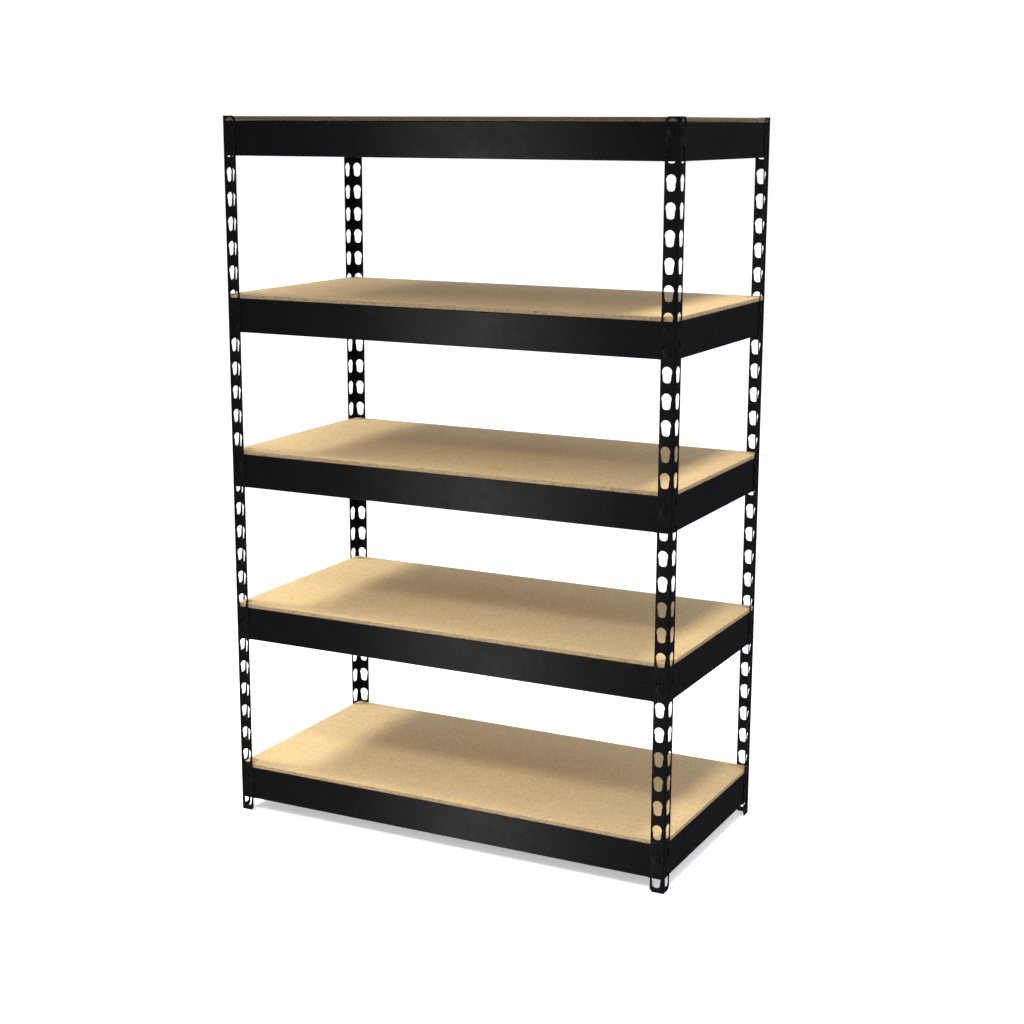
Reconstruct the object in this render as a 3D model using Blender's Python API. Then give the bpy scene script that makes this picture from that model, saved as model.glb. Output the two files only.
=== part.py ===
"""Boltless steel shelving with five particle-board decks.

Four angle posts stand at the corners, each leg pierced by thirty keyholes. Four channel beams a level
hang in the keyholes by a headed rivet at each end and sit inside the post legs. A loose deck lies on the
top flanges of the four beams, between the posts. X runs along the width, the front faces -Y, Z is up.
"""

import math

import bmesh
import bpy

# Overall size
WIDTH = 1.220
DEPTH = 0.600
HEIGHT = 1.822

# Posts
LEG = 0.036
POST_SHEET = 0.0016
POST_BEND = 0.0026
CORNER_CUT_WIDE = 0.006
CORNER_CUT_TALL = 0.008

# Keyholes: a wide round head over a narrower tail, at the same heights in both legs
HOLE_COUNT = 30
HOLE_PITCH = 0.061
FIRST_HOLE_DROP = 0.021
HOLE_FROM_CORNER = 0.0197
HEAD_RADIUS = 0.0125
HEAD_RISE = 0.0055
TAIL_HALF = 0.0093
TAIL_DROP = 0.0195
TAIL_CHAMFER = 0.0050

# Beams
BEAM_TOPS = (1.8110, 1.3710, 0.9702, 0.5623, 0.1208)
BEAM_HEIGHT = 0.0865
BEAM_SHEET = 0.0015
BEAM_BEND = 0.0028
TOP_FLANGE = 0.024
BOTTOM_FLANGE = 0.016
FLANGE_SETBACK = 0.042

# Rivets: the keyhole each level's beams hang in, counted from the top
RIVET_HOLES = (1, 9, 15, 22, 29)
SHANK_RADIUS = 0.0085
RIVET_HEAD_RADIUS = 0.0113
RIVET_HEAD_TALL = 0.0012
RIVET_SIDES = 8

# Decks
DECK_THICK = 0.0095
DECK_CORNER = 0.003

# Free space between neighbours that touch
GAP = 0.0003
DECK_GAP = 0.0005

BLACK = (0.012, 0.012, 0.013, 1.0)
BOARD = (0.55, 0.37, 0.19, 1.0)


def clear_scene():
    for obj in list(bpy.data.objects):
        bpy.data.objects.remove(obj, do_unlink=True)


def new_collection(name):
    collection = bpy.data.collections.new(name)
    bpy.context.scene.collection.children.link(collection)
    return collection


def material(name, colour, roughness, metallic):
    made = bpy.data.materials.new(name)
    made.use_nodes = True
    shader = made.node_tree.nodes["Principled BSDF"]
    shader.inputs["Base Color"].default_value = colour
    shader.inputs["Roughness"].default_value = roughness
    shader.inputs["Metallic"].default_value = metallic
    made.diffuse_color = colour
    return made


def object_from(bm, name, collection, surface=None):
    bmesh.ops.recalc_face_normals(bm, faces=bm.faces)
    mesh = bpy.data.meshes.new(name)
    bm.to_mesh(mesh)
    bm.free()
    if surface:
        mesh.materials.append(surface)
    obj = bpy.data.objects.new(name, mesh)
    collection.objects.link(obj)
    return obj


def cutter_settings(obj):
    obj.hide_render = True
    obj.display_type = "WIRE"


def prism(bm, outline, to_world, start, end):
    """Adds the outline (2D points) extruded from start to end, placed by to_world(u, v, w)."""
    near = [bm.verts.new(to_world(u, v, start)) for u, v in outline]
    face = bm.faces.new(near)
    made = bmesh.ops.extrude_face_region(bm, geom=[face])
    moved = [item for item in made["geom"] if isinstance(item, bmesh.types.BMVert)]
    low = to_world(0.0, 0.0, start)
    high = to_world(0.0, 0.0, end)
    shift = [b - a for a, b in zip(low, high)]
    bmesh.ops.translate(bm, vec=shift, verts=moved)


def arc(centre, radius, first, last, steps):
    points = []
    for i in range(steps + 1):
        angle = math.radians(first + (last - first) * i / steps)
        points.append((centre[0] + radius * math.cos(angle), centre[1] + radius * math.sin(angle)))
    return points


def angle_outline():
    """The post's section, its outer corner at the origin, its legs along +u and +v."""
    sheet, bend = POST_SHEET, POST_BEND
    inner = bend - sheet
    outline = arc((bend, bend), bend, 180, 270, 3)
    outline += [(LEG, 0.0), (LEG, sheet)]
    outline += arc((sheet + inner, sheet + inner), inner, 270, 180, 2)
    outline += [(sheet, LEG), (0.0, LEG)]
    return outline


def keyhole_outline():
    """The keyhole about its middle, u across and v up."""
    outline = arc((0.0, HEAD_RISE), HEAD_RADIUS, -32, 212, 5)
    outline += [(-TAIL_HALF, -TAIL_DROP + TAIL_CHAMFER), (-TAIL_HALF + TAIL_CHAMFER, -TAIL_DROP)]
    outline += [(TAIL_HALF - TAIL_CHAMFER, -TAIL_DROP), (TAIL_HALF, -TAIL_DROP + TAIL_CHAMFER)]
    return outline


def hole_height(number):
    return HEIGHT - FIRST_HOLE_DROP - (number - 1) * HOLE_PITCH


def corner_cuts(bm, to_world):
    """Wedges that take the free corners off both ends of one leg; u runs along the leg, v up."""
    out = 0.004
    wide, tall = CORNER_CUT_WIDE, CORNER_CUT_TALL
    slope_u = wide * (tall + out) / tall - wide
    slope_v = tall * (wide + out) / wide - tall
    for edge, way in ((HEIGHT, 1.0), (0.0, -1.0)):
        outline = [
            (LEG - wide - slope_u, edge + way * out),
            (LEG + out, edge - way * (tall + slope_v)),
            (LEG + out, edge + way * out),
        ]
        prism(bm, outline, to_world, -0.003, POST_SHEET + 0.003)


def post_cutter(name, collection, side_x, side_y, leg_along_x):
    """Every hole and corner cut of one leg of the post at the corner (side_x, side_y)."""
    bm = bmesh.new()
    corner_x = side_x * WIDTH / 2
    corner_y = side_y * DEPTH / 2

    def to_world(u, v, w):
        if leg_along_x:
            return (corner_x - side_x * u, corner_y - side_y * w, v)
        return (corner_x - side_x * w, corner_y - side_y * u, v)

    for number in range(1, HOLE_COUNT + 1):
        height = hole_height(number)
        outline = [(HOLE_FROM_CORNER + u, height + v) for u, v in keyhole_outline()]
        prism(bm, outline, to_world, -0.003, POST_SHEET + 0.003)
    corner_cuts(bm, to_world)
    cutter = object_from(bm, name, collection)
    cutter_settings(cutter)
    return cutter


def make_post(name, side_x, side_y, parts, cutters, surface):
    bm = bmesh.new()

    def to_world(u, v, w):
        return (side_x * (WIDTH / 2 - u), side_y * (DEPTH / 2 - v), w)

    prism(bm, angle_outline(), to_world, 0.0, HEIGHT)
    post = object_from(bm, name, parts, surface)
    for leg_along_x in (True, False):
        cutter_name = f"{name}_cut_{'x' if leg_along_x else 'y'}"
        cutter = post_cutter(cutter_name, cutters, side_x, side_y, leg_along_x)
        cut = post.modifiers.new("holes", "BOOLEAN")
        cut.operation = "DIFFERENCE"
        cut.solver = "EXACT"
        cut.object = cutter
    return post


def channel_outline():
    """The beam's section, u inwards from its outer face and v up from its top edge."""
    sheet, bend = BEAM_SHEET, BEAM_BEND
    inner = bend - sheet
    low = -BEAM_HEIGHT
    outline = [(TOP_FLANGE, 0.0)]
    outline += arc((bend, -bend), bend, 90, 180, 2)
    outline += arc((bend, low + bend), bend, 180, 270, 2)
    outline += [(BOTTOM_FLANGE, low), (BOTTOM_FLANGE, low + sheet)]
    outline += arc((sheet + inner, low + sheet + inner), inner, 270, 180, 1)
    outline += arc((sheet + inner, -sheet - inner), inner, 180, 90, 1)
    outline += [(TOP_FLANGE, -sheet)]
    return outline


def web_outline():
    """The flat of the beam alone, which runs on past the flanges to its two ends."""
    edge = BEAM_BEND * 0.3
    return [
        (0.0, -edge),
        (edge * 0.6, 0.0),
        (BEAM_SHEET, 0.0),
        (BEAM_SHEET, -BEAM_HEIGHT),
        (edge * 0.6, -BEAM_HEIGHT),
        (0.0, -BEAM_HEIGHT + edge),
    ]


def rivet(bm, along, height, to_world):
    """A headed rivet standing out of the web, a closed shape turned about its own axis."""
    face = POST_SHEET + 2 * GAP
    profile = [
        (0.0, BEAM_SHEET * 0.5),
        (SHANK_RADIUS, BEAM_SHEET * 0.5),
        (SHANK_RADIUS, -face),
        (RIVET_HEAD_RADIUS, -face),
        (RIVET_HEAD_RADIUS, -face - RIVET_HEAD_TALL * 0.45),
        (RIVET_HEAD_RADIUS * 0.78, -face - RIVET_HEAD_TALL),
        (0.0, -face - RIVET_HEAD_TALL),
    ]
    rings = []
    for radius, out in profile:
        if radius == 0.0:
            rings.append([bm.verts.new(to_world(out, height, along))])
            continue
        ring = []
        for i in range(RIVET_SIDES):
            angle = 2 * math.pi * (i + 0.5) / RIVET_SIDES
            u = radius * math.cos(angle)
            v = radius * math.sin(angle)
            ring.append(bm.verts.new(to_world(out, height + v, along + u)))
        rings.append(ring)
    for low, high in zip(rings, rings[1:]):
        for i in range(RIVET_SIDES):
            j = (i + 1) % RIVET_SIDES
            corners = [low[i % len(low)], low[j % len(low)], high[j % len(high)], high[i % len(high)]]
            bm.faces.new(list(dict.fromkeys(corners)))


def make_beam(name, level, wall, parts, cutters, surface):
    """One beam on the wall front, rear, left or right of a level, counted from the top."""
    top = BEAM_TOPS[level - 1]
    long_way = wall in ("front", "rear")
    span = WIDTH if long_way else DEPTH
    depth = DEPTH if long_way else WIDTH
    side = -1.0 if wall in ("front", "left") else 1.0
    outer_face = depth / 2 - POST_SHEET - GAP

    def to_world(u, v, w):
        across = side * (outer_face - u)
        return (w, across, v) if long_way else (across, w, v)

    end = span / 2 - POST_SHEET - BEAM_SHEET - 3 * GAP
    flange_end = span / 2 - FLANGE_SETBACK
    bm = bmesh.new()
    prism(bm, [(u, top + v) for u, v in channel_outline()], to_world, -flange_end, flange_end)
    beam = object_from(bm, name, parts, surface)

    height = hole_height(RIVET_HOLES[level - 1]) - TAIL_DROP + SHANK_RADIUS + GAP
    bm = bmesh.new()
    for way in (-1.0, 1.0):
        inner = way * (flange_end - 0.01)
        prism(bm, [(u, top + v) for u, v in web_outline()], to_world, inner, way * end)
    ends = object_from(bm, f"{name}_ends", cutters)
    cutter_settings(ends)
    bm = bmesh.new()
    for way in (-1.0, 1.0):
        rivet(bm, way * (span / 2 - HOLE_FROM_CORNER), height, to_world)
    rivets = object_from(bm, f"{name}_rivets", cutters)
    cutter_settings(rivets)
    for helper in (ends, rivets):
        join = beam.modifiers.new("join", "BOOLEAN")
        join.operation = "UNION"
        join.solver = "EXACT"
        join.object = helper
    return beam


def make_deck(level, parts, surface):
    low = BEAM_TOPS[level - 1] + GAP
    half_x = WIDTH / 2 - POST_SHEET - DECK_GAP
    half_y = DEPTH / 2 - POST_SHEET - DECK_GAP
    cut = DECK_CORNER
    outline = []
    for side_x, side_y in ((-1, -1), (1, -1), (1, 1), (-1, 1)):
        pair = [
            (side_x * (half_x - cut), side_y * half_y),
            (side_x * half_x, side_y * (half_y - cut)),
        ]
        outline += pair if side_x * side_y < 0 else pair[::-1]
    bm = bmesh.new()
    prism(bm, outline, lambda u, v, w: (u, v, w), 0.0, DECK_THICK)
    deck = object_from(bm, f"deck_{level}", parts, surface)
    deck.location = (0.0, 0.0, low)
    return deck


def main():
    clear_scene()
    parts = new_collection("boltless_shelving")
    cutters = new_collection("cutters")
    cutters.hide_render = True
    for name, side_x, side_y in (
        ("post_front_left", -1, -1),
        ("post_front_right", 1, -1),
        ("post_rear_left", -1, 1),
        ("post_rear_right", 1, 1),
    ):
        make_post(name, side_x, side_y, parts, cutters, material(name, BLACK, 0.45, 0.0))
    for level in range(1, len(BEAM_TOPS) + 1):
        for wall in ("front", "rear", "left", "right"):
            name = f"beam_{wall}_{level}"
            make_beam(name, level, wall, parts, cutters, material(name, BLACK, 0.42, 0.0))
        make_deck(level, parts, material(f"deck_{level}", BOARD, 0.75, 0.0))


main()
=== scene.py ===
"""Boltless steel shelving: keyholed angle posts, channel beams and loose particle-board decks."""

import math

import bmesh
import bpy
from mathutils import Matrix, Vector


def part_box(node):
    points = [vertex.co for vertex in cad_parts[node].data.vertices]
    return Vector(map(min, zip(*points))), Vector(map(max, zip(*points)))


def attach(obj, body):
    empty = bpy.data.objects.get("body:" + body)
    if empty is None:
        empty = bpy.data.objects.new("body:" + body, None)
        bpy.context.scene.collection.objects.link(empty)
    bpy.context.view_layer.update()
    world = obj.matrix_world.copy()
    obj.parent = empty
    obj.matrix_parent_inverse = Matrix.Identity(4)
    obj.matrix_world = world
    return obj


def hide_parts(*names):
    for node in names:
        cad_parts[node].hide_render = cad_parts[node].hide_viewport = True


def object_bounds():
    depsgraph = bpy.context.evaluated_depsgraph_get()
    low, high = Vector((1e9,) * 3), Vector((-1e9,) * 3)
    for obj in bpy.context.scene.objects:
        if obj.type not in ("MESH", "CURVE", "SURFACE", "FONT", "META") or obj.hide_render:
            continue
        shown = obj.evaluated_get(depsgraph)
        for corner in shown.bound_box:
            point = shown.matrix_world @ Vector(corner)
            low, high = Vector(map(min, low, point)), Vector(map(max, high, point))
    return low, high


bl_info = {
    "name": "Boltless Steel Shelving",
    "version": (1, 0, 0),
    "blender": (4, 5, 0),
    "location": "3D View > Sidebar > Shelving",
    "description": "Builds a five-level boltless steel shelving unit with particle-board decks",
    "category": "Add Mesh",
}

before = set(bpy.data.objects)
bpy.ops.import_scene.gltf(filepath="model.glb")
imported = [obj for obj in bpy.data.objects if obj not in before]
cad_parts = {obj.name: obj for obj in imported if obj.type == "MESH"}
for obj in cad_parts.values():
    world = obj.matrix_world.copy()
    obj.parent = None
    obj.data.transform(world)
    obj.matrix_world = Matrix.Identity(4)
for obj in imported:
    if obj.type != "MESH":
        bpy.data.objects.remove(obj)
CAD_LOW, CAD_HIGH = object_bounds()

POSTS = {
    "post_front_left": (-1.0, -1.0),
    "post_front_right": (1.0, -1.0),
    "post_rear_left": (-1.0, 1.0),
    "post_rear_right": (1.0, 1.0),
}
# Each side's beams are the front one turned about Z by so many degrees.
SIDES = {"front": 0.0, "rear": 180.0, "left": 270.0, "right": 90.0}
LEVELS = 5

# Points closer than WELD become one, and a point closer than TOUCH to a plane counts as on it.
WELD = 0.00002
TOUCH = 0.000001
# A flat strip beside each fold keeps the fold's soft shading off the wide faces.
FOLD_STRIP = 0.0008
FOLD_STEPS = 4
HEAD_STEPS = 9
RIVET_STEPS = 20
# The button inside each beam end: radius and height over the sheet, from its middle outwards.
BUTTON = ((0.0, 0.0010), (0.0038, 0.0008), (0.0052, 0.0003), (0.0055, -0.0004))
SHARP_ANGLE = math.radians(32)

COAT_PEEL = 900.0
COAT_RUBS = (0.012, 0.012, 0.012)
COAT_WORN = (0.055, 0.055, 0.058)
COAT_DUST = (0.16, 0.145, 0.125)
BOARD_SPECKS = (0.13, 0.07, 0.03)
BOARD_PITS = (0.06, 0.035, 0.018)
BOARD_DUST = (0.55, 0.5, 0.42)
# How much deeper the relief of a board's sawn edges is than that of its faces.
EDGE_RELIEF = 2.2
# How light the top board's faces and sawn edges are, and those of the boards under it; the top board's
# darker tones are painted shade, not a different board.
TOP_BOARD_PAINTED_SHADE = (0.86, 0.3)
LOWER_BOARD_TONES = (1.0, 0.95)
# Each board starts this much further along in the chip pattern, so that no two look alike.
CHIP_SHIFT = (0.73, 1.31, 0.37)

# The floor lies just under the feet, so that the two surfaces never share a plane.
FLOOR_RADIUS = 30.0
FLOOR_DROP = 0.0004
# The card stands upright in front of the unit, turned about Z.
CARD_SIZE = (0.38, 4.1)
CARD_TURN = math.radians(-28)
CARD_PLACE = (-0.68, -1.8, -0.05)
WARM = (1.0, 0.94, 0.82)
COOL = (1.0, 0.99, 0.98)


# ---------------------------------------------------------------- settings


class ShelvingSizes(bpy.types.PropertyGroup):
    """Sheet thicknesses, bends and hole sizes that the CAD boxes don't give by themselves."""

    leg: bpy.props.FloatProperty(
        name="Post leg", description="Width of each leg of the angle post", default=0.036, unit="LENGTH"
    )
    post_sheet: bpy.props.FloatProperty(
        name="Post sheet", description="Thickness of the post's steel", default=0.0016, unit="LENGTH"
    )
    post_bend: bpy.props.FloatProperty(
        name="Post bend", description="Outside radius of the post's corner", default=0.0026,
        unit="LENGTH",
    )
    corner_cut_wide: bpy.props.FloatProperty(
        name="Corner cut width", description="Sideways reach of the cut corners", default=0.006,
        unit="LENGTH",
    )
    corner_cut_tall: bpy.props.FloatProperty(
        name="Corner cut height", description="Height of the cut corners", default=0.008, unit="LENGTH"
    )
    hole_count: bpy.props.IntProperty(
        name="Keyholes", description="Keyholes in each leg of a post", default=30, min=1
    )
    hole_pitch: bpy.props.FloatProperty(
        name="Keyhole pitch", description="Distance between keyholes", default=0.061, unit="LENGTH"
    )
    first_hole_drop: bpy.props.FloatProperty(
        name="First keyhole", description="Drop from the post's top to the first keyhole", default=0.021,
        unit="LENGTH",
    )
    hole_from_corner: bpy.props.FloatProperty(
        name="Keyhole offset", description="Distance from the post's corner to the keyholes",
        default=0.0197, unit="LENGTH",
    )
    head_radius: bpy.props.FloatProperty(
        name="Keyhole head", description="Radius of the keyhole's round head", default=0.0125,
        unit="LENGTH",
    )
    head_rise: bpy.props.FloatProperty(
        name="Head rise", description="Height of the head's middle over the keyhole's", default=0.0055,
        unit="LENGTH",
    )
    tail_half: bpy.props.FloatProperty(
        name="Tail half width", description="Half the width of the keyhole's tail", default=0.0093,
        unit="LENGTH",
    )
    tail_drop: bpy.props.FloatProperty(
        name="Tail drop", description="Drop from the keyhole's middle to its foot", default=0.0195,
        unit="LENGTH",
    )
    tail_round: bpy.props.FloatProperty(
        name="Tail rounding", description="Rounding of the tail's foot", default=0.0062, unit="LENGTH"
    )
    beam_sheet: bpy.props.FloatProperty(
        name="Beam sheet", description="Thickness of the beam's steel", default=0.0015, unit="LENGTH"
    )
    beam_bend: bpy.props.FloatProperty(
        name="Beam bend", description="Outside radius of the beam's folds", default=0.0028, unit="LENGTH"
    )
    top_flange: bpy.props.FloatProperty(
        name="Top flange", description="Depth of the flange under the deck", default=0.024, unit="LENGTH"
    )
    bottom_flange: bpy.props.FloatProperty(
        name="Bottom flange", description="Depth of the beam's lower flange", default=0.016,
        unit="LENGTH",
    )
    flange_setback: bpy.props.FloatProperty(
        name="Flange setback", description="Where the flanges stop, from the outside of the unit",
        default=0.042, unit="LENGTH",
    )
    rivet_holes: bpy.props.IntVectorProperty(
        name="Rivet keyholes", description="Keyhole that each level's rivets sit in, from the top",
        size=5, default=(1, 9, 15, 22, 29),
    )
    shank_radius: bpy.props.FloatProperty(
        name="Rivet shank", description="Radius of the rivet's shank", default=0.0085, unit="LENGTH"
    )
    rivet_radius: bpy.props.FloatProperty(
        name="Rivet head", description="Radius of the rivet's head", default=0.0113, unit="LENGTH"
    )
    rivet_rise: bpy.props.FloatProperty(
        name="Rivet rise", description="How far the rivet's head stands out", default=0.0012,
        unit="LENGTH",
    )
    gap: bpy.props.FloatProperty(
        name="Clearance", description="Free space between parts that touch", default=0.0003,
        unit="LENGTH",
    )
    deck_corner: bpy.props.FloatProperty(
        name="Deck corner", description="Cut at each corner of a deck", default=0.003, unit="LENGTH"
    )
    deck_edge: bpy.props.FloatProperty(
        name="Deck edge", description="Softening of the deck's sawn edges", default=0.0005, unit="LENGTH"
    )


class ShelvingFinish(bpy.types.PropertyGroup):
    """Colours and textures of the powder coat and the boards."""

    coat: bpy.props.FloatVectorProperty(
        name="Powder coat", description="Colour of the black powder coat", subtype="COLOR", size=3,
        default=(0.0030, 0.0030, 0.0032), min=0.0, max=1.0,
    )
    coat_roughness: bpy.props.FloatProperty(
        name="Coat roughness", description="Middle roughness of the coat", default=0.27, min=0.0, max=1.0
    )
    board_light: bpy.props.FloatVectorProperty(
        name="Board, light chips", description="Colour of the palest chips", subtype="COLOR", size=3,
        default=(0.655, 0.483, 0.245), min=0.0, max=1.0,
    )
    board_dark: bpy.props.FloatVectorProperty(
        name="Board, dark chips", description="Colour of the darker chips", subtype="COLOR", size=3,
        default=(0.485, 0.342, 0.163), min=0.0, max=1.0,
    )
    board_sawn: bpy.props.FloatVectorProperty(
        name="Board, sawn edge", description="Colour of the board's sawn edges", subtype="COLOR", size=3,
        default=(0.29, 0.2, 0.11), min=0.0, max=1.0,
    )


class ShelvingStage(bpy.types.PropertyGroup):
    """Floor, background, lights and camera."""

    lens: bpy.props.FloatProperty(
        name="Lens", description="Focal length in millimetres on a 36 mm sensor", default=63.832, min=1.0
    )
    eye: bpy.props.FloatVectorProperty(
        name="Eye", description="Where the camera stands", subtype="TRANSLATION", size=3,
        default=(2.1162, -4.0918, 1.8058),
    )
    yaw: bpy.props.FloatProperty(
        name="Yaw", description="Turn to the left from straight back", subtype="ANGLE",
        default=math.radians(26.8115),
    )
    pitch: bpy.props.FloatProperty(
        name="Pitch", description="Tilt below the horizon", subtype="ANGLE", default=math.radians(12.086)
    )
    roll: bpy.props.FloatProperty(
        name="Roll", description="Turn about the line of sight", subtype="ANGLE",
        default=math.radians(0.2106),
    )
    floor_tone: bpy.props.FloatProperty(
        name="Floor tone", description="Paleness of the floor", default=0.86, min=0.0, max=1.0
    )
    floor_glow: bpy.props.FloatProperty(
        name="Floor glow", description="Light added to the floor where the camera sees it", default=0.4,
        min=0.0,
    )
    card_glow: bpy.props.FloatProperty(
        name="Highlight", description="Strength of the highlight on the long beams", default=2.75, min=0.0
    )
    room: bpy.props.FloatProperty(
        name="Room", description="Strength of the light from all round", default=1.02, min=0.0
    )
    room_hidden: bpy.props.FloatProperty(
        name="Room hidden", description="How much of the room's light reflections leave out",
        default=0.96, min=0.0,
    )
    room_tint: bpy.props.FloatVectorProperty(
        name="Room tint", description="Colour of the light from all round", subtype="COLOR", size=3,
        default=(0.98, 1.03, 1.14), min=0.0, soft_max=2.0,
    )


# ---------------------------------------------------------------- mesh helpers


def verts_of(result):
    return [item for item in result["geom"] if isinstance(item, bmesh.types.BMVert)]


def edges_of(result):
    return [item for item in result["geom"] if isinstance(item, bmesh.types.BMEdge)]


def faces_of(result):
    return [item for item in result["geom"] if isinstance(item, bmesh.types.BMFace)]


def extruded(bm, edges, shift):
    """Extrudes edges by a shift and returns the new outer edges."""
    made = bmesh.ops.extrude_edge_only(bm, edges=edges)
    bmesh.ops.translate(bm, verts=verts_of(made), vec=shift)
    return edges_of(made)


def folded(bm, edges, centre, axis):
    """Turns edges about a line as a sheet is folded, and returns the edges past the fold."""
    made = bmesh.ops.spin(
        bm, geom=edges, cent=centre, axis=axis, dvec=(0, 0, 0), angle=math.radians(90), steps=FOLD_STEPS,
        use_merge=False, use_duplicate=False,
    )
    return [item for item in made["geom_last"] if isinstance(item, bmesh.types.BMEdge)]


def plate(bm, low_x, high_x, low_z, high_z):
    """One upright rectangle in the XZ plane that faces -Y."""
    corners = [(low_x, low_z), (high_x, low_z), (high_x, high_z), (low_x, high_z)]
    bm.faces.new([bm.verts.new((x, 0.0, z)) for x, z in corners])


def edges_on(bm, test):
    """Edges whose two ends both pass the test."""
    return [edge for edge in bm.edges if all(test(vert.co) for vert in edge.verts)]


def mark_rims(bm):
    """Stores 1 on the free edges of the sheet and 0 elsewhere, for wear along the edges."""
    layer = bm.verts.layers.float.new("rim")
    for vert in bm.verts:
        vert[layer] = 1.0 if vert.is_boundary else 0.0


def thickened(bm, thickness):
    """Gives the sheet its thickness behind its outer side, which stays where it is."""
    bmesh.ops.solidify(bm, geom=bm.faces[:], thickness=thickness)
    if bm.calc_volume(signed=True) < 0:
        bmesh.ops.reverse_faces(bm, faces=bm.faces[:])


def face_front(bm):
    """Turns an open sheet so that its wide face along X looks to the front."""
    bmesh.ops.recalc_face_normals(bm, faces=bm.faces[:])
    bm.normal_update()
    largest = max(bm.faces, key=lambda face: face.calc_area() * abs(face.normal.y))
    if largest.normal.y > 0:
        bmesh.ops.reverse_faces(bm, faces=bm.faces[:])


def placed(bm, matrix):
    """Puts a finished closed mesh in its place, also by a mirroring matrix."""
    bmesh.ops.transform(bm, matrix=matrix, verts=bm.verts[:])
    if matrix.determinant() < 0:
        bmesh.ops.reverse_faces(bm, faces=bm.faces[:])


def piece_from(bm, name, node, body, material):
    """A finished piece: its object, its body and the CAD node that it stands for."""
    mesh = bpy.data.meshes.new(name)
    bm.normal_update()
    bm.to_mesh(mesh)
    bm.free()
    mesh.shade_smooth()
    mesh.set_sharp_from_angle(angle=SHARP_ANGLE)
    mesh.materials.append(material)
    piece = bpy.data.objects.new(name, mesh)
    bpy.context.scene.collection.objects.link(piece)
    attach(piece, body)
    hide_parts(node)


# ---------------------------------------------------------------- posts


def keyhole_face(bm, sizes):
    """A face of the keyhole's outline about Z = 0: a turned round head over a narrower tail."""
    first, last = math.radians(-30), math.radians(210)
    centre_x = sizes.hole_from_corner
    start_x = centre_x + sizes.head_radius * math.cos(first)
    start_z = sizes.head_rise + sizes.head_radius * math.sin(first)
    start = bm.verts.new((start_x, 0.0, start_z))
    bmesh.ops.spin(
        bm, geom=[start], cent=(centre_x, 0.0, sizes.head_rise), axis=(0, -1, 0), dvec=(0, 0, 0),
        angle=last - first, steps=HEAD_STEPS, use_merge=False, use_duplicate=False,
    )
    bm.verts.ensure_lookup_table()
    ring = bm.verts[:]
    left = bm.verts.new((centre_x - sizes.tail_half, 0.0, -sizes.tail_drop))
    right = bm.verts.new((centre_x + sizes.tail_half, 0.0, -sizes.tail_drop))
    bm.faces.new(ring + [left, right])
    bmesh.ops.bevel(
        bm, geom=[left, right], offset=sizes.tail_round, offset_type="OFFSET", affect="VERTICES",
        segments=2, profile=0.5, material=-1,
    )


def post_leg(bm, sizes, height):
    """One flat leg in the XZ plane, from its fold out along +X, with its keyholes and cut corners."""
    start = sizes.post_bend + FOLD_STRIP
    top_z = sizes.first_hole_drop
    foot_z = top_z - sizes.hole_pitch
    keyhole_face(bm, sizes)
    bmesh.ops.delete(bm, geom=bm.faces[:], context="FACES_ONLY")
    corners = [(start, top_z), (sizes.leg, top_z), (sizes.leg, foot_z), (start, foot_z)]
    ring = [bm.verts.new((x, 0.0, z)) for x, z in corners]
    for i, vert in enumerate(ring):
        bm.edges.new((vert, ring[(i + 1) % 4]))
    bmesh.ops.triangle_fill(bm, edges=bm.edges[:], use_beauty=True, use_dissolve=False, normal=(0, -1, 0))
    bmesh.ops.translate(bm, verts=bm.verts[:], vec=(0, 0, height - sizes.first_hole_drop))
    cell = bm.verts[:] + bm.edges[:] + bm.faces[:]
    for number in range(1, sizes.hole_count):
        made = bmesh.ops.duplicate(bm, geom=cell)
        bmesh.ops.translate(bm, verts=verts_of(made), vec=(0, 0, -number * sizes.hole_pitch))
    bmesh.ops.remove_doubles(bm, verts=bm.verts[:], dist=WELD)
    bmesh.ops.bisect_plane(
        bm, geom=bm.verts[:] + bm.edges[:] + bm.faces[:], dist=TOUCH, plane_co=(0, 0, 0),
        plane_no=(0, 0, 1), clear_inner=True,
    )
    for end, way in ((height, 1.0), (0.0, -1.0)):
        near = [face for face in bm.faces if abs(face.calc_center_median().z - end) < sizes.hole_pitch]
        around = dict.fromkeys(item for face in near for item in (*face.edges, *face.verts))
        bmesh.ops.bisect_plane(
            bm, geom=near + list(around), dist=TOUCH,
            plane_co=(sizes.leg - sizes.corner_cut_wide, 0, end),
            plane_no=(sizes.corner_cut_tall, 0, way * sizes.corner_cut_wide), clear_outer=True,
        )
    extruded(bm, edges_on(bm, lambda co: abs(co.x - start) < TOUCH), (-FOLD_STRIP, 0, 0))


def post_mesh(sizes, height):
    """The whole post with its outer corner on the Z axis and its legs along +X and +Y."""
    bm = bmesh.new()
    post_leg(bm, sizes, height)
    made = bmesh.ops.duplicate(bm, geom=bm.verts[:] + bm.edges[:] + bm.faces[:])
    swap = Matrix(((0, 1, 0, 0), (1, 0, 0, 0), (0, 0, 1, 0), (0, 0, 0, 1)))
    bmesh.ops.transform(bm, matrix=swap, verts=verts_of(made))
    bmesh.ops.reverse_faces(bm, faces=faces_of(made))
    bend = sizes.post_bend
    seam = edges_on(bm, lambda co: abs(co.x - bend) < TOUCH and abs(co.y) < TOUCH)
    folded(bm, seam, (bend, bend, 0), (0, 0, -1))
    bmesh.ops.remove_doubles(bm, verts=bm.verts[:], dist=WELD)
    mark_rims(bm)
    face_front(bm)
    thickened(bm, sizes.post_sheet)
    return bm


# ---------------------------------------------------------------- beams


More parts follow.
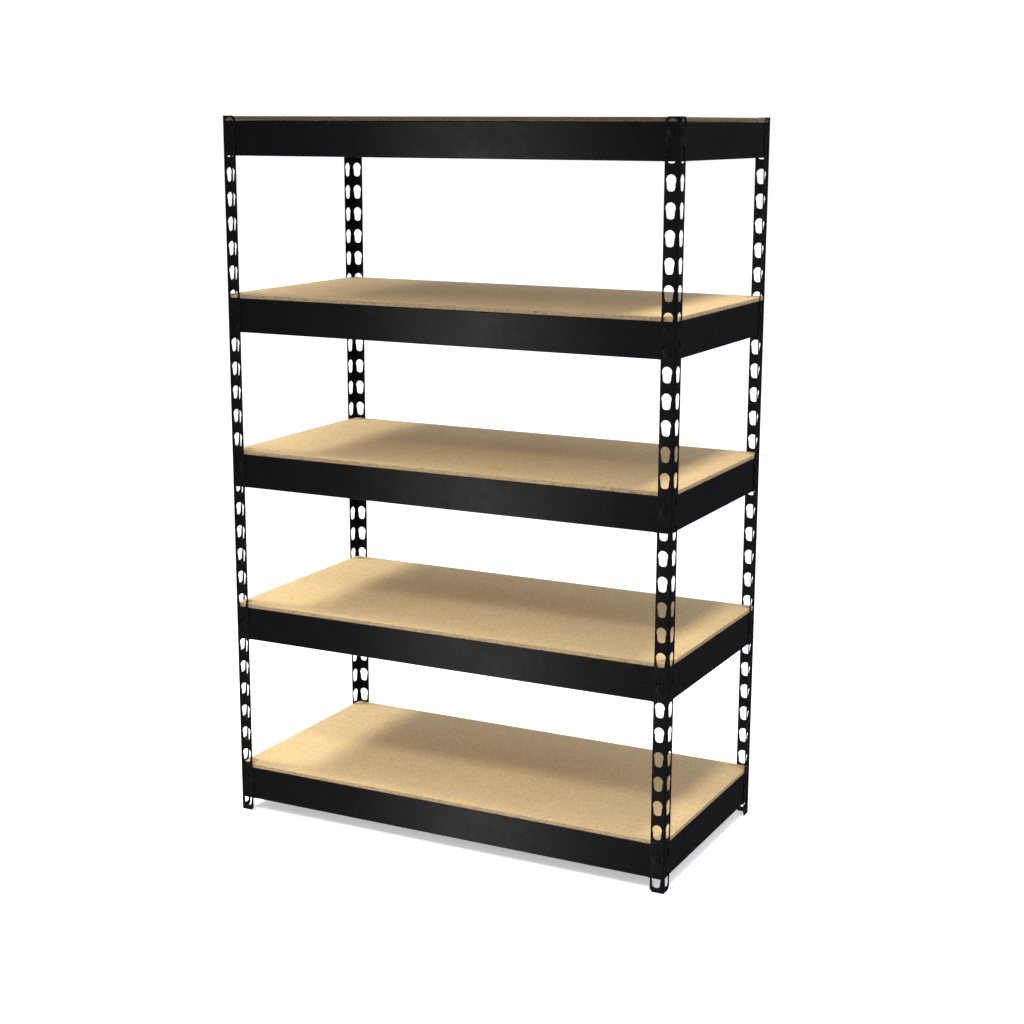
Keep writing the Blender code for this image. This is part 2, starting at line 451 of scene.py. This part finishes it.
def channel_mesh(sizes, end, flange_end, height):
    """A beam along X with its outer face in the XZ plane, its top at Z = 0 and its flanges along +Y."""
    bm = bmesh.new()
    bend, strip = sizes.beam_bend, FOLD_STRIP
    low, high = -height + bend + strip, -bend - strip
    plate(bm, -flange_end, flange_end, low, high)
    for way, depth in ((1.0, sizes.top_flange), (-1.0, sizes.bottom_flange)):
        edge_z = high if way > 0 else low
        side = edges_on(bm, lambda co: abs(co.z - edge_z) < TOUCH and abs(co.y) < TOUCH)
        side = extruded(bm, side, (0, 0, way * strip))
        side = folded(bm, side, (0, bend, edge_z + way * strip), (-way, 0, 0))
        side = extruded(bm, side, (0, strip, 0))
        extruded(bm, side, (0, depth - bend - strip, 0))
    tab_start = flange_end - TOUCH
    for way in (-1.0, 1.0):
        side = edges_on(bm, lambda co: abs(co.x - way * flange_end) < TOUCH and abs(co.y) < TOUCH)
        extruded(bm, side, (way * (end - flange_end), 0, 0))
        for edge_z, limit in ((-bend, 0.0), (-height + bend, -height)):
            rim = edges_on(
                bm, lambda co: co.x * way > tab_start and abs(co.y) < TOUCH and abs(co.z - edge_z) < TOUCH
            )
            extruded(bm, rim, (0, 0, limit - edge_z))
    bmesh.ops.remove_doubles(bm, verts=bm.verts[:], dist=WELD)
    mark_rims(bm)
    face_front(bm)
    thickened(bm, sizes.beam_sheet)
    return bm


def turned(bm, points, along, height):
    """A closed turned shape about the line along Y through (along, height); points are (radius, y)."""
    verts = [bm.verts.new((along + radius, y, height)) for radius, y in points]
    edges = [bm.edges.new(pair) for pair in zip(verts, verts[1:])]
    bmesh.ops.spin(
        bm, geom=verts + edges, cent=(along, 0, height), axis=(0, 1, 0), dvec=(0, 0, 0),
        angle=math.radians(360), steps=RIVET_STEPS, use_merge=True, use_duplicate=False,
    )


def rivets_mesh(sizes, span, height):
    """Both rivets of a beam: a low domed head outside the post, the shank, and a small button inside."""
    bm = bmesh.new()
    face = -(sizes.post_sheet + 2 * sizes.gap)
    rise, head = sizes.rivet_rise, sizes.rivet_radius
    button = [(radius, sizes.beam_sheet + lift) for radius, lift in BUTTON]
    shank = [(sizes.shank_radius, button[-1][1]), (sizes.shank_radius, face)]
    dome = [
        (head - 0.0003, face), (head, face - 0.15 * rise), (head - 0.0004, face - 0.45 * rise),
        (head * 0.86, face - 0.72 * rise), (head * 0.6, face - 0.92 * rise), (0.0, face - rise),
    ]
    for way in (-1.0, 1.0):
        turned(bm, button + shank + dome, way * (span / 2 - sizes.hole_from_corner), height)
    bmesh.ops.remove_doubles(bm, verts=bm.verts[:], dist=WELD)
    bmesh.ops.recalc_face_normals(bm, faces=bm.faces[:])
    mark_rims(bm)
    return bm


def joined(bm, other):
    """Adds another bmesh's shells to this one."""
    mesh = bpy.data.meshes.new("joined")
    other.to_mesh(mesh)
    other.free()
    bm.from_mesh(mesh)
    bpy.data.meshes.remove(mesh)


# ---------------------------------------------------------------- decks


def climb(edge):
    """How much higher one end of an edge is than the other."""
    return abs(edge.verts[0].co.z - edge.verts[1].co.z)


def deck_mesh(sizes, low, high):
    """A sawn board with cut corners and softened edges."""
    bm = bmesh.new()
    bmesh.ops.create_cube(bm, size=1.0)
    bmesh.ops.scale(bm, vec=high - low, verts=bm.verts[:])
    bmesh.ops.translate(bm, vec=(high + low) / 2, verts=bm.verts[:])
    upright = [edge for edge in bm.edges if climb(edge) > TOUCH]
    bmesh.ops.bevel(
        bm, geom=upright, offset=sizes.deck_corner, offset_type="OFFSET", affect="EDGES", segments=1,
        profile=0.5, material=-1,
    )
    flat = [edge for edge in bm.edges if climb(edge) < TOUCH]
    bmesh.ops.bevel(
        bm, geom=flat, offset=sizes.deck_edge, offset_type="OFFSET", affect="EDGES", segments=2,
        profile=0.5, material=-1,
    )
    return bm


# ---------------------------------------------------------------- shader helpers


def node_in(tree, kind, **settings):
    """A new node with its settings."""
    node = tree.nodes.new(kind)
    for key, value in settings.items():
        setattr(node, key, value)
    return node


def math_in(tree, operation, *values, clamp=False):
    """A Math node; each value is a number or a socket. Returns its output."""
    node = node_in(tree, "ShaderNodeMath", operation=operation, use_clamp=clamp)
    for i, value in enumerate(values):
        if isinstance(value, (int, float)):
            node.inputs[i].default_value = value
        else:
            tree.links.new(value, node.inputs[i])
    return node.outputs[0]


def range_in(tree, value, low, high, to_low=0.0, to_high=1.0):
    """Eases a value's range from low to high into another range. Returns its output."""
    node = node_in(tree, "ShaderNodeMapRange", interpolation_type="SMOOTHSTEP")
    tree.links.new(value, node.inputs["Value"])
    node.inputs["From Min"].default_value = low
    node.inputs["From Max"].default_value = high
    node.inputs["To Min"].default_value = to_low
    node.inputs["To Max"].default_value = to_high
    return node.outputs["Result"]


def mix_colour(tree, factor, first, second):
    """A colour Mix node; each value is a number, a colour or a socket. Returns its output."""
    node = node_in(tree, "ShaderNodeMix", data_type="RGBA")
    for socket, value in zip((node.inputs[0], node.inputs[6], node.inputs[7]), (factor, first, second)):
        if isinstance(value, bpy.types.NodeSocket):
            tree.links.new(value, socket)
        elif isinstance(value, (int, float)):
            socket.default_value = value
        else:
            socket.default_value = (*value[:3], 1.0)
    return node.outputs[2]


def noise_in(tree, vector, scale, detail=2.0, roughness=0.5, distortion=0.0):
    """A Noise node. Returns its value."""
    node = node_in(tree, "ShaderNodeTexNoise")
    tree.links.new(vector, node.inputs["Vector"])
    node.inputs["Scale"].default_value = scale
    node.inputs["Detail"].default_value = detail
    node.inputs["Roughness"].default_value = roughness
    node.inputs["Distortion"].default_value = distortion
    return node.outputs[0]


def cells_in(tree, vector):
    """Random cells of about one unit."""
    node = node_in(tree, "ShaderNodeTexVoronoi", feature="F1")
    tree.links.new(vector, node.inputs["Vector"])
    node.inputs["Scale"].default_value = 1.0
    return node


def stretched(tree, vector, scale):
    """The vector scaled by its own factor along each axis."""
    node = node_in(tree, "ShaderNodeMapping")
    tree.links.new(vector, node.inputs["Vector"])
    node.inputs["Scale"].default_value = scale
    return node.outputs["Vector"]


def flakes_in(tree, vector, length, width, turn):
    """Cells like flakes of one size in metres, turned by an angle in degrees about Z."""
    node = node_in(tree, "ShaderNodeMapping", vector_type="TEXTURE")
    tree.links.new(vector, node.inputs["Vector"])
    node.inputs["Scale"].default_value = (length, width, width)
    node.inputs["Rotation"].default_value = (0.0, 0.0, math.radians(turn))
    return cells_in(tree, node.outputs["Vector"])


def tone_of(tree, cells):
    """One random value for each cell."""
    split = node_in(tree, "ShaderNodeSeparateColor")
    tree.links.new(cells.outputs["Color"], split.inputs[0])
    return split.outputs[0]


def share(tree, value, part):
    """A socket times a number or times another socket. Returns its output."""
    return math_in(tree, "MULTIPLY", value, part)


def toned(colour, *factors):
    """A colour with each channel times its factor."""
    return tuple(channel * factor for channel, factor in zip(colour, factors))


def new_group(name, inputs, outputs):
    """A shader node group with its sockets; each is (name, socket type, default or None)."""
    group = bpy.data.node_groups.new(name, "ShaderNodeTree")
    for in_out, sockets in (("INPUT", inputs), ("OUTPUT", outputs)):
        for label, kind, default in sockets:
            socket = group.interface.new_socket(name=label, in_out=in_out, socket_type=kind)
            if default is not None:
                socket.default_value = default
    return group, group.nodes.new("NodeGroupInput"), group.nodes.new("NodeGroupOutput")


def group_in(tree, group, **values):
    """Places a group in a material; spaces in an input's name are written as underscores."""
    node = node_in(tree, "ShaderNodeGroup", node_tree=group)
    for key, value in values.items():
        socket = node.inputs[key.replace("_", " ")]
        if isinstance(value, bpy.types.NodeSocket):
            tree.links.new(value, socket)
        else:
            socket.default_value = value
    return node


# ---------------------------------------------------------------- shared effects


def coat_grain_group():
    """The fine orange peel of a baked powder coat, with slow changes of gloss and faint rubs."""
    group, given, out = new_group(
        "Coat Grain",
        [("Vector", "NodeSocketVector", None), ("Peel Scale", "NodeSocketFloat", COAT_PEEL)],
        [("Height", "NodeSocketFloat", None), ("Gloss", "NodeSocketFloat", None),
         ("Rubs", "NodeSocketFloat", None)],
    )
    vector = given.outputs["Vector"]
    peel = node_in(group, "ShaderNodeTexNoise")
    group.links.new(vector, peel.inputs["Vector"])
    group.links.new(given.outputs["Peel Scale"], peel.inputs["Scale"])
    peel.inputs["Detail"].default_value = 3.0
    slow = noise_in(group, vector, 6.0, detail=3.0)
    mid = noise_in(group, vector, 55.0, detail=2.0)
    streaks = stretched(group, vector, (30.0, 30.0, 160.0))
    rubs = noise_in(group, streaks, 1.0, detail=3.0, distortion=0.6)
    gloss = math_in(group, "ADD", share(group, slow, 0.65), share(group, mid, 0.35))
    group.links.new(peel.outputs[0], out.inputs["Height"])
    group.links.new(gloss, out.inputs["Gloss"])
    group.links.new(range_in(group, rubs, 0.62, 0.78), out.inputs["Rubs"])
    return group


def dust_group():
    """Dust that settles on faces that look up, in soft patches and fine specks."""
    group, given, out = new_group(
        "Settled Dust",
        [("Vector", "NodeSocketVector", None), ("Amount", "NodeSocketFloat", 0.2)],
        [("Mask", "NodeSocketFloat", None)],
    )
    vector = given.outputs["Vector"]
    normal = node_in(group, "ShaderNodeNewGeometry")
    split = node_in(group, "ShaderNodeSeparateXYZ")
    group.links.new(normal.outputs["Normal"], split.inputs[0])
    up = range_in(group, split.outputs["Z"], 0.35, 0.95)
    patches = range_in(group, noise_in(group, vector, 9.0, detail=4.0), 0.35, 0.75)
    specks = range_in(group, noise_in(group, vector, 700.0, detail=1.0), 0.45, 0.7)
    both = math_in(group, "ADD", share(group, patches, 0.7), share(group, specks, 0.3))
    mask = share(group, share(group, up, both), given.outputs["Amount"])
    group.links.new(mask, out.inputs["Mask"])
    return group


def chips_group():
    """Pressed wood chips: large flakes laid two ways, small ones between them and a few dark specks."""
    group, given, out = new_group(
        "Board Chips",
        [("Vector", "NodeSocketVector", None), ("Chip Scale", "NodeSocketFloat", 1.0)],
        [("Tone", "NodeSocketFloat", None), ("Specks", "NodeSocketFloat", None),
         ("Height", "NodeSocketFloat", None)],
    )
    scaled = node_in(group, "ShaderNodeVectorMath", operation="SCALE")
    group.links.new(given.outputs["Vector"], scaled.inputs[0])
    group.links.new(given.outputs["Chip Scale"], scaled.inputs["Scale"])
    bent = noise_in(group, scaled.outputs[0], 160.0, detail=1.0).node
    shift = node_in(group, "ShaderNodeVectorMath", operation="MULTIPLY_ADD")
    group.links.new(bent.outputs["Color"], shift.inputs[0])
    shift.inputs[1].default_value = (0.0018, 0.0018, 0.0018)
    group.links.new(scaled.outputs[0], shift.inputs[2])
    vector = shift.outputs[0]
    long_way = flakes_in(group, vector, 0.0062, 0.0026, 24.0)
    cross_way = flakes_in(group, vector, 0.0052, 0.0024, -48.0)
    small = flakes_in(group, vector, 0.0018, 0.0012, 82.0)
    long_tone, cross_tone, small_tone = (tone_of(group, cells) for cells in (long_way, cross_way, small))
    fine = math_in(group, "ADD", share(group, cross_tone, 0.35), share(group, small_tone, 0.25))
    tone = math_in(group, "ADD", share(group, long_tone, 0.4), fine)
    group.links.new(tone, out.inputs["Tone"])
    specks = share(group, range_in(group, small_tone, 0.93, 0.97), range_in(group, cross_tone, 0.3, 0.6))
    group.links.new(specks, out.inputs["Specks"])
    rough = share(group, small.outputs["Distance"], 0.8)
    height = math_in(group, "ADD", share(group, long_tone, 0.6), rough)
    group.links.new(height, out.inputs["Height"])
    return group


# ---------------------------------------------------------------- materials


def new_material(name):
    """A new material with its node tree and its main shader."""
    material = bpy.data.materials.new(name)
    material.use_nodes = True
    tree = material.node_tree
    return material, tree, tree.nodes["Principled BSDF"]


def bump_in(tree, height, strength, distance):
    """A Bump node. Returns its normal."""
    node = node_in(tree, "ShaderNodeBump")
    node.inputs["Strength"].default_value = strength
    node.inputs["Distance"].default_value = distance
    tree.links.new(height, node.inputs["Height"])
    return node.outputs["Normal"]


def powder_coat(name, groups, finish, roughness, wear):
    """Semi-gloss black powder coat on steel, a little worn on its free edges."""
    material, tree, shader = new_material(name)
    place = node_in(tree, "ShaderNodeTexCoord").outputs["Object"]
    grain = group_in(tree, groups["grain"], Vector=place, Peel_Scale=COAT_PEEL)
    dust = group_in(tree, groups["dust"], Vector=place, Amount=0.35)
    rim = node_in(tree, "ShaderNodeAttribute", attribute_name="rim").outputs["Fac"]
    patchy = noise_in(tree, place, 240.0, detail=3.0)
    worn = share(tree, range_in(tree, rim, 0.93, 1.0), range_in(tree, patchy, 0.55, 0.72))
    coat = tuple(finish.coat)
    colour = mix_colour(tree, grain.outputs["Gloss"], coat, toned(coat, 1.6, 1.6, 1.6))
    colour = mix_colour(tree, share(tree, grain.outputs["Rubs"], 0.25), colour, COAT_RUBS)
    colour = mix_colour(tree, share(tree, worn, wear), colour, COAT_WORN)
    colour = mix_colour(tree, dust.outputs["Mask"], colour, COAT_DUST)
    tree.links.new(colour, shader.inputs["Base Color"])
    rough = range_in(tree, grain.outputs["Gloss"], 0.3, 0.7, roughness + 0.05, roughness - 0.05)
    rough = math_in(tree, "ADD", rough, share(tree, grain.outputs["Rubs"], 0.06))
    rough = math_in(tree, "ADD", rough, share(tree, dust.outputs["Mask"], 0.5), clamp=True)
    tree.links.new(rough, shader.inputs["Roughness"])
    bump = bump_in(tree, grain.outputs["Height"], strength=0.22, distance=0.00025)
    tree.links.new(bump, shader.inputs["Normal"])
    shader.inputs["Metallic"].default_value = 0.0
    shader.inputs["Specular IOR Level"].default_value = 0.2
    material.diffuse_color = (*coat, 1.0)


def board_face(tree, vector, chips, light, dark):
    """The colour of a board's faces: chips between two tones, soft clouds and dark specks."""
    face = mix_colour(tree, range_in(tree, chips.outputs["Tone"], 0.25, 0.75), dark, light)
    cloud = noise_in(tree, vector, 3.2, detail=4.0, roughness=0.55)
    drift = noise_in(tree, stretched(tree, vector, (9.0, 28.0, 28.0)), 1.0, detail=4.0)
    cloud = range_in(tree, cloud, 0.3, 0.7, -0.05, 0.05)
    drift = range_in(tree, drift, 0.3, 0.7, -0.045, 0.045)
    shade = math_in(tree, "ADD", math_in(tree, "ADD", cloud, drift), 0.12, clamp=True)
    face = mix_colour(tree, shade, face, toned(dark, 0.8, 0.8, 0.85))
    return mix_colour(tree, share(tree, chips.outputs["Specks"], 0.55), face, BOARD_SPECKS)


def board_edge(tree, vector, coarse, sawn):
    """The colour of a board's sawn edges: coarse chips in flat layers, with dark pits between them."""
    pits = tone_of(tree, cells_in(tree, stretched(tree, vector, (230.0, 230.0, 520.0))))
    layers = noise_in(tree, stretched(tree, vector, (26.0, 26.0, 900.0)), 1.0, detail=3.0)
    pale, deep = toned(sawn, 1.45, 1.42, 1.35), toned(sawn, 0.62, 0.6, 0.58)
    edge = mix_colour(tree, range_in(tree, coarse.outputs["Tone"], 0.2, 0.8), sawn, pale)
    edge = mix_colour(tree, range_in(tree, layers, 0.4, 0.7, 0.0, 0.35), edge, deep)
    return mix_colour(tree, range_in(tree, pits, 0.86, 0.93, 0.0, 0.6), edge, BOARD_PITS)


def particle_board(name, groups, finish, offset, face_tone_and_shade, edge_tone_and_shade):
    """A raw board: pale pressed chips on its faces, darker coarse layers on sawn edges; painted shade on
    the top board.
    """
    material, tree, shader = new_material(name)
    moved = node_in(tree, "ShaderNodeMapping")
    tree.links.new(node_in(tree, "ShaderNodeTexCoord").outputs["Object"], moved.inputs["Vector"])
    moved.inputs["Location"].default_value = offset
    vector = moved.outputs["Vector"]
    chips = group_in(tree, groups["chips"], Vector=vector, Chip_Scale=1.0)
    coarse = group_in(tree, groups["chips"], Vector=vector, Chip_Scale=0.7)
    dust = group_in(tree, groups["dust"], Vector=vector, Amount=0.12)
    # On the top board these tones darken the chips and the sawn edges as painted shade.
    light = toned(finish.board_light, face_tone_and_shade, face_tone_and_shade, face_tone_and_shade)
    dark = toned(finish.board_dark, face_tone_and_shade, face_tone_and_shade, face_tone_and_shade)
    sawn = toned(finish.board_sawn, edge_tone_and_shade, edge_tone_and_shade, edge_tone_and_shade)
    normal = node_in(tree, "ShaderNodeNewGeometry").outputs["Normal"]
    axes = node_in(tree, "ShaderNodeSeparateXYZ")
    tree.links.new(normal, axes.inputs[0])
    flat = range_in(tree, math_in(tree, "ABSOLUTE", axes.outputs["Z"]), 0.35, 0.8)
    face = board_face(tree, vector, chips, light, dark)
    colour = mix_colour(tree, flat, board_edge(tree, vector, coarse, sawn), face)
    colour = mix_colour(tree, dust.outputs["Mask"], colour, BOARD_DUST)
    tree.links.new(colour, shader.inputs["Base Color"])
    face_rough = range_in(tree, chips.outputs["Tone"], 0.2, 0.8, 0.82, 0.66)
    edge_rough = range_in(tree, flat, 0.0, 1.0, 0.12, 0.0)
    rough = math_in(tree, "ADD", face_rough, edge_rough, clamp=True)
    tree.links.new(rough, shader.inputs["Roughness"])
    on_edges = math_in(tree, "SUBTRACT", EDGE_RELIEF, share(tree, flat, EDGE_RELIEF))
    edge_height = share(tree, coarse.outputs["Height"], on_edges)
    height = math_in(tree, "ADD", share(tree, chips.outputs["Height"], flat), edge_height)
    tree.links.new(bump_in(tree, height, strength=0.35, distance=0.0003), shader.inputs["Normal"])
    shader.inputs["Specular IOR Level"].default_value = 0.35
    material.diffuse_color = (*light, 1.0)


def finishes():
    """The unit's materials, made once and then looked up by name."""
    finish = bpy.context.scene.shelving_finish
    made = bpy.data.materials
    if "Powder Coat Post" not in made:
        groups = {"grain": coat_grain_group(), "dust": dust_group(), "chips": chips_group()}
        roughness = finish.coat_roughness
        powder_coat("Powder Coat Post", groups, finish, roughness=roughness + 0.04, wear=0.5)
        powder_coat("Powder Coat Beam", groups, finish, roughness=roughness, wear=0.3)
        for level in range(1, LEVELS + 1):
            offset = tuple(step * level for step in CHIP_SHIFT)
            # The top board gets darker tones: painted shade on its faces and sawn edges.
            board_tones_and_shade = TOP_BOARD_PAINTED_SHADE if level == 1 else LOWER_BOARD_TONES
            particle_board(f"Particle Board {level}", groups, finish, offset, *board_tones_and_shade)
    return made


# ---------------------------------------------------------------- operators


class SHELVING_OT_posts(bpy.types.Operator):
    """Build the four keyholed angle posts"""

    bl_idname = "shelving.posts"
    bl_label = "Posts"

    def execute(self, context):
        sizes = context.scene.shelving_sizes
        for node, (side_x, side_y) in POSTS.items():
            low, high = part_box(node)
            corner_x = high.x if side_x > 0 else low.x
            corner_y = high.y if side_y > 0 else low.y
            bm = post_mesh(sizes, high.z - low.z)
            mirrored = Matrix.Diagonal((-side_x, -side_y, 1.0, 1.0))
            placed(bm, Matrix.Translation((corner_x, corner_y, low.z)) @ mirrored)
            coat = finishes()["Powder Coat Post"]
            piece_from(bm, f"{node}_coated", node, "frame", coat)
        return {"FINISHED"}


class SHELVING_OT_beams(bpy.types.Operator):
    """Build the channel beams of every level with their rivets"""

    bl_idname = "shelving.beams"
    bl_label = "Beams"

    def execute(self, context):
        sizes = context.scene.shelving_sizes
        post_low, post_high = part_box("post_front_left")
        spans = (2 * abs(post_low.x), 2 * abs(post_low.y))
        reach = sizes.rivet_rise + sizes.post_sheet + 2 * sizes.gap
        for level in range(1, LEVELS + 1):
            holes_above = sizes.rivet_holes[level - 1] - 1
            hole_z = post_high.z - sizes.first_hole_drop - holes_above * sizes.hole_pitch
            rivet_z = hole_z - sizes.tail_drop + sizes.shank_radius + sizes.gap
            for side, turn in SIDES.items():
                node = f"beam_{side}_{level}"
                low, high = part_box(node)
                along, across = (0, 1) if side in ("front", "rear") else (1, 0)
                outer = high[across] if side in ("rear", "right") else low[across]
                span = spans[along]
                bm = channel_mesh(sizes, high[along], span / 2 - sizes.flange_setback, high.z - low.z)
                joined(bm, rivets_mesh(sizes, span, rivet_z - high.z))
                up = Matrix.Translation((0, 0, high.z))
                out = Matrix.Translation((0, reach - abs(outer), 0))
                placed(bm, up @ Matrix.Rotation(math.radians(turn), 4, "Z") @ out)
                coat = finishes()["Powder Coat Beam"]
                piece_from(bm, f"{node}_coated", node, "frame", coat)
        return {"FINISHED"}


class SHELVING_OT_decks(bpy.types.Operator):
    """Build the five loose particle-board decks"""

    bl_idname = "shelving.decks"
    bl_label = "Decks"

    def execute(self, context):
        sizes = context.scene.shelving_sizes
        for level in range(1, LEVELS + 1):
            node = f"deck_{level}"
            bm = deck_mesh(sizes, *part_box(node))
            board = finishes()[f"Particle Board {level}"]
            piece_from(bm, f"{node}_board", node, node, board)
        return {"FINISHED"}


def aimed_light(data, where, target, power, colour):
    """Puts a light in its place and aims it at a point."""
    data.energy = power
    data.color = colour
    light = bpy.data.objects.new(data.name, data)
    light.location = where
    light.rotation_euler = (Vector(target) - Vector(where)).to_track_quat("-Z", "Y").to_euler()
    bpy.context.scene.collection.objects.link(light)


def area_light(name, size, **placing):
    """A square soft light."""
    data = bpy.data.lights.new(name, "AREA")
    data.size = size
    aimed_light(data, **placing)


def spot_light(name, radius, cone, **placing):
    """A round soft light whose edge fades out over its whole cone; the cone is in degrees."""
    data = bpy.data.lights.new(name, "SPOT")
    data.shadow_soft_size = radius
    data.spot_size = math.radians(cone)
    data.spot_blend = 1.0
    aimed_light(data, **placing)


def stage_object(bm, name, material):
    """An object of the stage from a finished bmesh."""
    mesh = bpy.data.meshes.new(name)
    bm.to_mesh(mesh)
    bm.free()
    mesh.materials.append(material)
    made = bpy.data.objects.new(name, mesh)
    bpy.context.scene.collection.objects.link(made)
    return made


class SHELVING_OT_stage(bpy.types.Operator):
    """Set the floor, the background, the lights and the camera"""

    bl_idname = "shelving.stage"
    bl_label = "Stage"

    def execute(self, context):
        scene = context.scene
        stage = scene.shelving_stage
        self.floor(stage)
        self.highlight_card(stage)
        self.background(scene, stage)
        self.lights()
        self.camera(scene, stage)
        scene.view_settings.view_transform = "Standard"
        scene.view_settings.look = "None"
        return {"FINISHED"}

    def floor(self, stage):
        """A plain disc, clear from below, that glows a little where the camera sees it."""
        bm = bmesh.new()
        bmesh.ops.create_circle(bm, cap_ends=True, segments=96, radius=FLOOR_RADIUS)
        bmesh.ops.translate(bm, vec=(0, 0, CAD_LOW.z - FLOOR_DROP), verts=bm.verts[:])
        material, tree, shader = new_material("Floor")
        shader.inputs["Base Color"].default_value = (stage.floor_tone,) * 3 + (1.0,)
        shader.inputs["Roughness"].default_value = 1.0
        shader.inputs["Specular IOR Level"].default_value = 0.0
        shader.inputs["Emission Color"].default_value = (1.0, 1.0, 1.0, 1.0)
        seen = node_in(tree, "ShaderNodeLightPath").outputs["Is Camera Ray"]
        tree.links.new(share(tree, seen, stage.floor_glow), shader.inputs["Emission Strength"])
        clear = node_in(tree, "ShaderNodeBsdfTransparent")
        either = node_in(tree, "ShaderNodeMixShader")
        tree.links.new(node_in(tree, "ShaderNodeNewGeometry").outputs["Backfacing"], either.inputs[0])
        tree.links.new(shader.outputs[0], either.inputs[1])
        tree.links.new(clear.outputs[0], either.inputs[2])
        tree.links.new(either.outputs[0], tree.nodes["Material Output"].inputs["Surface"])
        floor = stage_object(bm, "floor", material)
        floor.visible_glossy = False

    def highlight_card(self, stage):
        """A glowing upright card that only glossy reflections see."""
        material, tree, shader = new_material("Highlight Card")
        glow = node_in(tree, "ShaderNodeEmission")
        glow.inputs["Strength"].default_value = stage.card_glow
        tree.links.new(glow.outputs[0], tree.nodes["Material Output"].inputs["Surface"])
        tree.nodes.remove(shader)
        material.cycles.emission_sampling = "NONE"
        bm = bmesh.new()
        bmesh.ops.create_grid(bm, x_segments=1, y_segments=1, size=0.5)
        bmesh.ops.scale(bm, vec=(*CARD_SIZE, 1.0), verts=bm.verts[:])
        upright = Matrix.Rotation(math.radians(90), 3, "X")
        turn = Matrix.Rotation(CARD_TURN, 3, "Z")
        bmesh.ops.rotate(bm, cent=(0, 0, 0), matrix=turn @ upright, verts=bm.verts[:])
        bmesh.ops.translate(bm, vec=CARD_PLACE, verts=bm.verts[:])
        card = stage_object(bm, "highlight_card", material)
        card.visible_camera = False
        card.visible_diffuse = False
        card.visible_shadow = False

    def background(self, scene, stage):
        """A white room that lights from all round, and that reflections hardly see."""
        world = bpy.data.worlds.new("Pale Studio")
        scene.world = world
        world.use_nodes = True
        world.cycles.sampling_method = "NONE"
        tree = world.node_tree
        behind = tree.nodes["Background"]
        path = node_in(tree, "ShaderNodeLightPath")
        glossy = path.outputs["Is Glossy Ray"]
        strength = math_in(tree, "MULTIPLY_ADD", glossy, -stage.room_hidden, stage.room)
        tree.links.new(strength, behind.inputs["Strength"])
        tint = mix_colour(tree, path.outputs["Is Camera Ray"], tuple(stage.room_tint), (1.0, 1.0, 1.0))
        tree.links.new(tint, behind.inputs["Color"])

    def lights(self):
        """Soft spots from the left and the front, and a small soft light over the right end."""
        spot_light(
            "light_left", where=(-2.2, -0.35, 3.3), target=(-1.0, 0.0, -0.45), radius=0.4, cone=58.0,
            power=510.0, colour=WARM,
        )
        spot_light(
            "light_front", where=(0.15, -2.9, 3.6), target=(0.16, -0.25, -0.4), radius=0.38, cone=35.5,
            power=440.0, colour=COOL,
        )
        area_light(
            "light_right", where=(1.2, -0.1, 3.6), target=(0.55, 0.0, 0.8), size=0.5, power=66.0,
            colour=WARM,
        )

    def camera(self, scene, stage):
        """Stands at the eye, turned by yaw, then pitch, then roll."""
        yaw, pitch, roll = stage.yaw, stage.pitch, stage.roll
        forward = Vector(
            (-math.sin(yaw) * math.cos(pitch), math.cos(yaw) * math.cos(pitch), -math.sin(pitch))
        )
        right = Vector((math.cos(yaw), math.sin(yaw), 0.0))
        up = right.cross(forward)
        across = right * math.cos(roll) + up * math.sin(roll)
        upright = up * math.cos(roll) - right * math.sin(roll)
        data = bpy.data.cameras.new("camera")
        data.lens = stage.lens
        data.sensor_width = 36.0
        camera = bpy.data.objects.new("camera", data)
        turn = Matrix((across, upright, -forward)).transposed()
        camera.matrix_world = Matrix.Translation(stage.eye) @ turn.to_4x4()
        scene.collection.objects.link(camera)
        scene.camera = camera


class SHELVING_PT_panel(bpy.types.Panel):
    """Lists the steps that build the shelving"""

    bl_idname = "SHELVING_PT_panel"
    bl_label = "Boltless Shelving"
    bl_space_type = "VIEW_3D"
    bl_region_type = "UI"
    bl_category = "Shelving"

    def draw(self, context):
        layout = self.layout
        for operator in STEPS:
            layout.operator(operator.bl_idname)
        for name in ("shelving_sizes", "shelving_finish", "shelving_stage"):
            settings = getattr(context.scene, name)
            box = layout.box()
            for key in settings.__annotations__:
                box.prop(settings, key)


STEPS = (SHELVING_OT_posts, SHELVING_OT_beams, SHELVING_OT_decks, SHELVING_OT_stage)
CLASSES = (ShelvingSizes, ShelvingFinish, ShelvingStage, *STEPS, SHELVING_PT_panel)


def register():
    for cls in CLASSES:
        bpy.utils.register_class(cls)
    bpy.types.Scene.shelving_sizes = bpy.props.PointerProperty(type=ShelvingSizes)
    bpy.types.Scene.shelving_finish = bpy.props.PointerProperty(type=ShelvingFinish)
    bpy.types.Scene.shelving_stage = bpy.props.PointerProperty(type=ShelvingStage)


def unregister():
    del bpy.types.Scene.shelving_stage
    del bpy.types.Scene.shelving_finish
    del bpy.types.Scene.shelving_sizes
    for cls in reversed(CLASSES):
        bpy.utils.unregister_class(cls)


def main():
    register()
    bpy.ops.shelving.posts()
    bpy.ops.shelving.beams()
    bpy.ops.shelving.decks()
    bpy.ops.shelving.stage()


if __name__ == "__main__":
    main()
